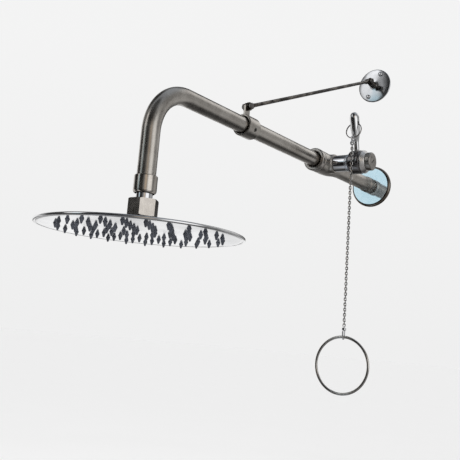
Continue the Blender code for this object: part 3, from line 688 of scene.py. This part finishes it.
# -------------------------------------------------------------------- arm


def make_inlet_tube(looks):
    pipe = [(PIPE_RADIUS, -188.3), (PIPE_RADIUS, -374), (PIPE_BORE, -374), (PIPE_BORE, -188.3)]
    piece("inlet_tube", lathe(pipe, "Y"), looks["satin"], "frame", ("inlet_pipe",))


def make_bent_tube(looks):
    """Straight tube, a quarter bend and the drop."""
    path = [Vector((0, -374.6, 0)), Vector((0, -440, 0))]
    for step in range(37):
        angle = math.pi / 2 * step / 36
        turned = Vector((0, -math.sin(angle), math.cos(angle) - 1))
        path.append(DROP + Vector((0, BEND_RADIUS, 0)) + BEND_RADIUS * turned)
    path.append(DROP - Vector((0, 0, 113)))
    tube = sweep(path, PIPE_RADIUS, 72, closed=False)
    piece("bent_tube", tube, looks["satin"], "frame", ("arm_tube",))


def make_coupling(looks):
    """Sleeve over the two tubes, with a socket screw in a well."""
    profile = [(11.5, -369), (12.6, -369.2), (13.9, -370.2), (14.5, -372), (14.5, -393.6), (14.1, -394.6)]
    profile += [(13.3, -395), (12.4, -395), (11.7, -393.8), (11.3, -391), (11.0, -389), (11.0, -369)]
    place = Vector((0, -382, 0))
    turn = math.radians(20)
    well = spin(lathe([(2.75, 12), (2.75, 16)], "X", place, 32, closed=False), turn, "Y", place)
    sleeve = fused(lathe(profile, "Y"), [("DIFFERENCE", well)])
    piece("sleeve_coupling", sleeve, looks["satin"], "frame", ("coupling",), edge=0.25)
    grub = [(0, 11.0), (2.45, 11.0), (2.45, 13.7), (2.1, 14.1), (1.35, 14.1), (1.35, 12.8), (0, 12.8)]
    screw = spin(lathe(grub, "X", place, 32, closed=False), turn, "Y", place)
    piece("grub_screw", screw, looks["dark"], "frame", ("set_screw",))


def make_lug(looks):
    """Flat lug with a round eye, and the weld bead round its foot."""
    rise = LUG_PIVOT.z - LUG_FOOT
    lug = block((3, 10, rise), LUG_PIVOT - Vector((0, 0, rise / 2)))
    lug = fused(lug, [("UNION", lathe([(5, -1.5), (5, 1.5)], "X", LUG_PIVOT, 48, closed=False))])
    piece("coupling_lug", lug, looks["satin"], "frame", ("brace_lug",), edge=0.4)
    bead = []
    for step in range(48):
        angle = math.tau * step / 48
        bead.append(Vector((1.9 * math.cos(angle), LUG_PIVOT.y + 5.3 * math.sin(angle), LUG_FOOT + 0.1)))
    piece("lug_weld", sweep(bead, 0.8, 8), looks["weld"], "frame")


def make_rod(looks):
    """Round bar flattened at both ends into eyes beside the lug and the knuckle."""
    beside = Vector((3.25, 0, 0))
    near = WALL_PIVOT + beside
    far = LUG_PIVOT + beside
    span = far - near
    sections = []
    for at, wide, thick in ((2, 4.0, 1.35), (7, 3.6, 1.35), (10, 3.0, 1.7), (14, 2.6, 2.3), (18, 2.5, 2.5)):
        sections.append((thick, wide, at))
    sections += [(thick, wide, span.length - at) for thick, wide, at in reversed(sections)]
    bar = loft(sections, 40)
    spin(bar, -math.pi / 2, "X")
    slope = span.to_track_quat("Y", "Z").to_matrix()
    bmesh.ops.rotate(bar, verts=bar.verts, cent=(0, 0, 0), matrix=slope)
    move(bar, near)
    steps = []
    for place in (near, far):
        steps.append(("UNION", lathe([(5.5, -1.45), (5.5, 1.45)], "X", place, 48, closed=False)))
    piece("stay_rod", fused(bar, steps), looks["rod"], "frame", ("brace_rod",), edge=0.3)


def make_pivot_bolts(looks):
    """A hexagon bolt and nut through each end of the rod."""
    pivots = ((LUG_PIVOT, "lug_bolt", "lug_nut"), (WALL_PIVOT, "knuckle_bolt", "knuckle_nut"))
    for index, (pivot, bolt_node, nut_node) in enumerate(pivots):
        head = lathe([(4.0, 5.0), (4.62, 5.4), (4.62, 7.9), (4.0, 8.5)], "X", pivot, 6, closed=False)
        shank = lathe([(2.45, -7), (2.45, 5.2)], "X", pivot, 32, closed=False)
        bolt = fused(shank, [("UNION", head)])
        piece("hex_bolt_%d" % index, bolt, looks["dark"], "frame", (bolt_node,), edge=0.3)
        nut = lathe([(4.0, -5.8), (4.62, -5.3), (4.62, -2.3), (4.0, -1.8)], "X", pivot, 6, closed=False)
        piece("hex_nut_%d" % index, nut, looks["dark"], "frame", (nut_node,), edge=0.3)


# ------------------------------------------------------------ shower head


def make_drop_fittings(looks):
    """Collar on the tube's end, and the ball stud with its water bore."""
    collar = [(10.95, -105), (12.1, -105), (12.8, -105.5), (13, -106.4), (13, -122.2), (12.7, -123.4)]
    collar += [(12.0, -124.4), (11.2, -125), (10.95, -125)]
    piece("end_collar", lathe(collar, "Z", DROP), looks["drop"], "frame", ("drop_collar",), edge=0.2)
    stud = [(9.15, 26.6), (9.15, 8.2)]
    stud += arc((0, 0), 12.3, 42, -46, 24)
    stud += [(5.5, -9), (5.5, 26.6)]
    piece("neck_and_ball", lathe(stud, "Z", SWIVEL), looks["chrome"], "frame", ("ball_stud",))


def make_hex_nut(looks):
    """Hexagon with turned corners over a stepped socket for the ball."""
    radius = 15 / math.cos(math.pi / 6)
    nut = lathe([(radius, -10.6), (radius, 8.4)], "Z", SWIVEL, 6, closed=False)
    cone = [(14.4, -11.6), (18.2, -9.3), (18.2, 7.1), (14.4, 9.4)]
    bore = [(12.6, 9.0), (11.3, 5.6), (12.6, 0), (13.3, -0.5), (13.3, -12)]
    shape = fused(nut, [
        ("INTERSECT", lathe(cone, "Z", SWIVEL, 96, closed=False)),
        ("DIFFERENCE", lathe(bore, "Z", SWIVEL, 72, closed=False)),
    ])
    piece("hexagon_nut", shape, looks["drop"], "head_set", ("swivel_nut",), edge=0.35)


def make_head(looks):
    """Thin domed shell with a rolled lip, and the polished face inside the lip."""
    outer = [(8, -10.9), (15.2, -10.9), (16.2, -11.6), (16.8, -13.0), (18.4, -14.4), (24, -15.6)]
    outer += [(60, -20.4), (100, -24.0), (110, -24.8), (112.4, -25.1), (113.5, -25.6), (114, -26.3)]
    lip = [(114, -27.5), (113.6, -28.0), (112.6, -28.2), (111.7, -28.1), (111.5, -27.4)]
    inner = [(100, -25.6), (24, -17), (8, -15.6)]
    dome = lathe(outer + lip + inner, "Z", SWIVEL, 160)
    piece("head_dome", dome, looks["dome"], "head_set", ("head_shell",), smooth=45)
    back = FACE_Z + FACE_THICK
    face = [(0, FACE_Z), (40, FACE_Z), (80, FACE_Z), (108, FACE_Z), (110.6, FACE_Z)]
    face += [(111.2, FACE_Z + 0.35), (111.2, back), (0, back)]
    disc = lathe(face, "Z", SWIVEL, 160, closed=False)
    piece("face_disc", disc, looks["face"], "head_set", ("face_plate",))


def nozzle_places():
    """Five circles of nozzles, each with five more than the one inside it."""
    places = []
    for ring in range(1, NOZZLE_CIRCLES + 1):
        for step in range(5 * ring):
            angle = NOZZLE_TURN + math.tau * step / (5 * ring)
            places.append(NOZZLE_PITCH * ring * Vector((math.cos(angle), math.sin(angle), 0)))
    return places


def make_nozzles(looks):
    """Silicone teats: a collar at the plate, a taper and an open tip."""
    drops = [(2.5, -0.1), (2.55, 0.5), (2.3, 0.8), (2.15, 1.0), (1.05, 4.4), (0.85, 4.9), (0.62, 5.0)]
    drops += [(0.45, 4.6), (0, 4.2)]
    profile = [(radius, FACE_Z - drop) for radius, drop in drops]
    joined = bmesh.new()
    for place in nozzle_places():
        gather(joined, lathe(profile, "Z", SWIVEL + place, 20, closed=False))
    piece("nozzle_teats", joined, looks["silicone"], "head_set", ("nozzle_mat",), smooth=50)


# ------------------------------------------------------------------ stage


def make_stage():
    """A wide pale floor well below the ring."""
    floor = loft([(FLOOR_RADIUS, FLOOR_RADIUS, FLOOR_Z), (FLOOR_RADIUS, FLOOR_RADIUS, FLOOR_Z - 1)], 96)
    item = solid_object("floor", floor)
    material, tree, shader = new_material("pale_floor")
    mottle = noise(tree, object_coords(tree), 3, 3)
    pale = blend_colour(tree, mottle, (0.945, 0.945, 0.945), (0.96, 0.96, 0.96))
    tree.links.new(pale, shader.inputs["Base Color"])
    shader.inputs["Roughness"].default_value = 0.9
    shader.inputs["Specular IOR Level"].default_value = 0.1
    item.data.materials.append(material)
    item.visible_glossy = False


def heading(angle, rise):
    """Unit vector: angle clockwise from +Y seen from above, and rise above the horizon, in degrees."""
    angle, rise = math.radians(angle), math.radians(rise)
    return Vector((math.sin(angle) * math.cos(rise), math.cos(angle) * math.cos(rise), math.sin(rise)))


TENT_RADIUS = 4.0
TENT_PLACE = (0, -0.3, 0)
TENT_CLOTH = (0.24, 0.24, 0.24)
NEUTRAL = (1.0, 1.0, 1.0)
COOL = (0.86, 0.94, 1.05)
WARM = (1.0, 0.84, 0.68)
FILM_BLUE = (0.63, 0.81, 0.885)

# Soft boxes and dark panels round the studio, each over the ones
# before it: heading, rise, core radius and edge radius in degrees, then
# brightness and tint.
PANELS = (
    (0, 90, 15, 50, 0.45, COOL),
    (215, -66, 9, 16, 0.7, COOL),
    (8, 36, 12, 28, 1.0, NEUTRAL),
    (20, -46, 20, 32, 0.05, NEUTRAL),
    (26, -10, 14, 26, 0.5, NEUTRAL),
    (36, 7, 8, 18, 0.4, NEUTRAL),
    (98, 6, 16, 28, 1.15, NEUTRAL),
    (137, 12, 6, 14, 0.6, WARM),
    (180, 16, 14, 24, 0.03, NEUTRAL),
    (165, 45, 24, 32, 0.02, NEUTRAL),
    (185, -10, 18, 28, 0.03, NEUTRAL),
    (162, -15, 16, 22, 0.012, NEUTRAL),
    (210, -18, 22, 28, 0.012, NEUTRAL),
    (268, 52, 16, 24, 0.02, NEUTRAL),
    (286, 8, 12, 22, 0.95, NEUTRAL),
    (236, 6, 15, 22, 0.02, NEUTRAL),
    (212, 34, 5, 8, 1.5, NEUTRAL),
    (212, 19, 6, 13, 1.2, NEUTRAL),
    (205.5, 11, 4, 7, 1.0, FILM_BLUE),
    (262, -12, 8, 14, 0.9, NEUTRAL),
    (-40, -50, 14, 24, 0.04, NEUTRAL),
    (-30, 40, 14, 22, 0.02, NEUTRAL),
    (-36, 16, 18, 28, 0.02, NEUTRAL),
    (-52, -6, 4.5, 8, 0.98, NEUTRAL),
    (-42, -6, 4.5, 8, 0.98, NEUTRAL),
    (-32, -6, 4.5, 8, 0.98, NEUTRAL),
)


def make_tent():
    """A studio tent of soft boxes and dark panels that shows only in reflections."""
    shape = bmesh.new()
    bmesh.ops.create_uvsphere(shape, u_segments=48, v_segments=24, radius=TENT_RADIUS)
    mesh = bpy.data.meshes.new("tent")
    shape.to_mesh(mesh)
    shape.free()
    tent = bpy.data.objects.new("tent", mesh)
    tent.location = TENT_PLACE
    bpy.context.collection.objects.link(tent)
    material = bpy.data.materials.new("tent")
    material.use_nodes = True
    tree = material.node_tree
    tree.nodes.clear()
    output = tree.nodes.new("ShaderNodeOutputMaterial")
    glow = tree.nodes.new("ShaderNodeEmission")
    tree.links.new(glow.outputs["Emission"], output.inputs["Surface"])
    aim = tree.nodes.new("ShaderNodeVectorMath")
    aim.operation = "NORMALIZE"
    tree.links.new(object_coords(tree), aim.inputs[0])
    colour = TENT_CLOTH
    for angle, rise, inner, outer, level, tint in PANELS:
        dot = tree.nodes.new("ShaderNodeVectorMath")
        dot.operation = "DOT_PRODUCT"
        dot.inputs[1].default_value = heading(angle, rise)
        tree.links.new(aim.outputs["Vector"], dot.inputs[0])
        edge, core = math.cos(math.radians(outer)), math.cos(math.radians(inner))
        inside = spread(tree, dot.outputs["Value"], 0, 1, edge, core)
        colour = blend_colour(tree, inside, colour, tuple(level * part for part in tint))
    tree.links.new(colour, glow.inputs["Color"])
    mesh.materials.append(material)
    tent.visible_camera = False
    tent.visible_shadow = False
    tent.visible_diffuse = False
    tent.visible_transmission = False


def make_light(name, place, target, size, power, colour=(1, 1, 1)):
    """A soft box in metres and watts that lights the part but isn't mirrored in it."""
    data = bpy.data.lights.new(name, "AREA")
    data.shape = "RECTANGLE"
    data.size, data.size_y = size
    data.energy = power
    data.color = colour
    light = bpy.data.objects.new(name, data)
    aim = (Vector(target) - Vector(place)).to_track_quat("-Z", "Y")
    light.matrix_world = Matrix.Translation(place) @ aim.to_matrix().to_4x4()
    light.visible_glossy = False
    bpy.context.collection.objects.link(light)


def make_lighting():
    """A pale sky that brightens upwards, three soft boxes and the reflected tent."""
    world = bpy.data.worlds.new("studio")
    world.use_nodes = True
    tree = world.node_tree
    back = tree.nodes["Background"]
    coords = tree.nodes.new("ShaderNodeTexCoord").outputs["Generated"]
    parts = tree.nodes.new("ShaderNodeSeparateXYZ")
    tree.links.new(coords, parts.inputs["Vector"])
    rise = spread(tree, parts.outputs["Z"], 0, 1, 0.0, 0.35)
    sky = blend_colour(tree, rise, (0.862, 0.862, 0.862), (0.9, 0.9, 0.9))
    tree.links.new(sky, back.inputs["Color"])
    back.inputs["Strength"].default_value = 1.0
    bpy.context.scene.world = world
    make_light("key", (-0.9, -1.6, 1.5), (0, -0.4, 0), (0.7, 0.7), 8)
    make_light("back_top", (0.35, 1.5, 1.3), (0, -0.3, 0), (1.0, 0.5), 5)
    make_light("fill", (1.7, -1.3, 0.5), (0, -0.3, 0), (0.5, 1.2), 4, (1.0, 0.97, 0.93))
    make_tent()


def make_looks():
    """Every finish, by the name that the parts ask for."""
    return {
        "satin": metal(
            "satin_tube", (0.34, 0.31, 0.28), (0.66, 0.63, 0.585), (0.2, 0.34),
            grain=1500, stretch=(1, 0.5, 1), relief=0.02, stain=60,
        ),
        "drop": metal(
            "satin_drop", (0.36, 0.33, 0.3), (0.7, 0.66, 0.61), (0.1, 0.2),
            grain=1500, stretch=(1, 1, 0.3), relief=0.008, stain=60,
        ),
        "cast": metal(
            "cast_steel", (0.34, 0.31, 0.28), (0.64, 0.61, 0.565), (0.26, 0.42),
            grain=1100, stretch=(1, 1, 1), relief=0.04, stain=80,
        ),
        "insert": metal(
            "turned_steel", (0.36, 0.33, 0.31), (0.66, 0.63, 0.59), (0.26, 0.4),
            grain=1400, stretch=(1, 3, 1), relief=0.015, stain=80,
        ),
        "hub": metal(
            "worn_hub", (0.1, 0.095, 0.1), (0.36, 0.35, 0.35), (0.14, 0.3),
            grain=1200, stretch=(3, 1, 1), relief=0.02, stain=110,
        ),
        "cap": metal(
            "cap_steel", (0.24, 0.22, 0.2), (0.5, 0.48, 0.45), (0.24, 0.38),
            grain=1100, stretch=(1, 1, 1), relief=0.03, stain=120,
        ),
        "pale": metal(
            "pale_ring", (0.72, 0.7, 0.68), (0.9, 0.88, 0.86), (0.24, 0.36),
            grain=1400, stretch=(3, 1, 1), relief=0.012, stain=120,
        ),
        "dark": metal(
            "dark_fastener", (0.07, 0.065, 0.06), (0.26, 0.25, 0.24), (0.22, 0.36),
            grain=1200, stretch=(1, 1, 1), relief=0.02, stain=160,
        ),
        "weld": metal(
            "weld_bead", (0.12, 0.1, 0.085), (0.34, 0.31, 0.28), (0.3, 0.5),
            grain=1300, stretch=(1, 1, 1), relief=0.08, stain=200,
        ),
        "ring": metal(
            "ring_wire", (0.4, 0.37, 0.34), (0.9, 0.88, 0.85), (0.12, 0.24),
            grain=1300, stretch=(1, 1, 1), relief=0.015, stain=45,
        ),
        "chain": metal(
            "link_wire", (0.34, 0.33, 0.32), (0.94, 0.93, 0.92), (0.06, 0.16),
            grain=1800, stretch=(1, 1, 1), relief=0.01, stain=300,
        ),
        "rod": rod_material(),
        # Bonnet lip: pale blue-grey colour, partly steel and partly a painted reflection.
        "lip": metal(
            "steel_lip_painted_reflection", (0.66, 0.7, 0.75), (0.86, 0.89, 0.93), (0.3, 0.42),
            grain=1400, stretch=(3, 1, 1), relief=0.01, stain=120,
        ),
        "key_ring": metal(
            "ring_steel", (0.16, 0.13, 0.11), (0.6, 0.58, 0.56), (0.1, 0.2),
            grain=900, stretch=(1, 1, 1), relief=0.01, stain=160,
        ),
        "chrome": mirror("bright_chrome", (0.8, 0.805, 0.82), (0.06, 0.16)),
        "barrel": mirror("barrel_chrome", (0.74, 0.75, 0.775), (0.05, 0.13), smudge=60, ripple=0.02, wave=60),
        "lever": mirror("lever_chrome", (0.84, 0.845, 0.85), (0.03, 0.08), smudge=60, ripple=0.01, wave=60),
        # Flange dish: the dark brown colour is painted shade on the rim.
        "rim": mirror("flange_rim_painted_shade", (0.2, 0.175, 0.15), (0.12, 0.22), smudge=70),
        "plate": mirror("plate_polish", (0.62, 0.63, 0.65), (0.08, 0.2), smudge=55, ripple=0.03, wave=40),
        "dome": mirror("dome_polish", (0.82, 0.82, 0.83), (0.05, 0.12), smudge=28, ripple=0.02, wave=22),
        "face": mirror("face_polish", (0.86, 0.865, 0.875), (0.06, 0.13), smudge=26, ripple=0.02, wave=20),
        "film": film_material(),
        "silicone": soft("silicone", (0.016, 0.02, 0.029), (0.14, 0.152, 0.185), (0.28, 0.44)),
        "seal": soft("seal_white", (0.72, 0.72, 0.69), (0.85, 0.85, 0.82), (0.4, 0.55)),
        "rubber": soft("black_rubber", (0.015, 0.015, 0.015), (0.045, 0.045, 0.045), (0.55, 0.75)),
        "brass": metal(
            "gland_brass", (0.3, 0.2, 0.08), (0.55, 0.4, 0.18), (0.25, 0.4),
            grain=1200, stretch=(3, 1, 1), relief=0.01, stain=150,
        ),
    }


def dress_hidden_nodes(looks):
    """Inner pieces keep their CAD shapes and get finished materials."""
    choices = {
        "valve_ball": "chrome",
        "valve_stem": "satin",
        "ball_seat_wall": "seal",
        "ball_seat_arm": "seal",
        "stem_packing": "seal",
        "gland_nut": "brass",
        "ball_gasket": "rubber",
    }
    for name, look in choices.items():
        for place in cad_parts[name].material_slots:
            place.material = looks[look]


PARTS = (
    make_chain, make_split_ring, make_connector, make_shackle, make_pull_ring,
    make_flange, make_brace_plate, make_knuckle, make_plate_screws,
    make_valve_body, make_supply_stub, make_insert, make_bonnet, make_hub, make_end_cap, make_lever,
    make_inlet_tube, make_bent_tube, make_coupling, make_lug, make_rod, make_pivot_bolts,
    make_drop_fittings, make_hex_nut, make_head, make_nozzles, dress_hidden_nodes,
)

make_camera()
finishes = make_looks()
for make_part in PARTS:
    make_part(finishes)
make_stage()
make_lighting()
bpy.context.scene.view_settings.view_transform = "Standard"
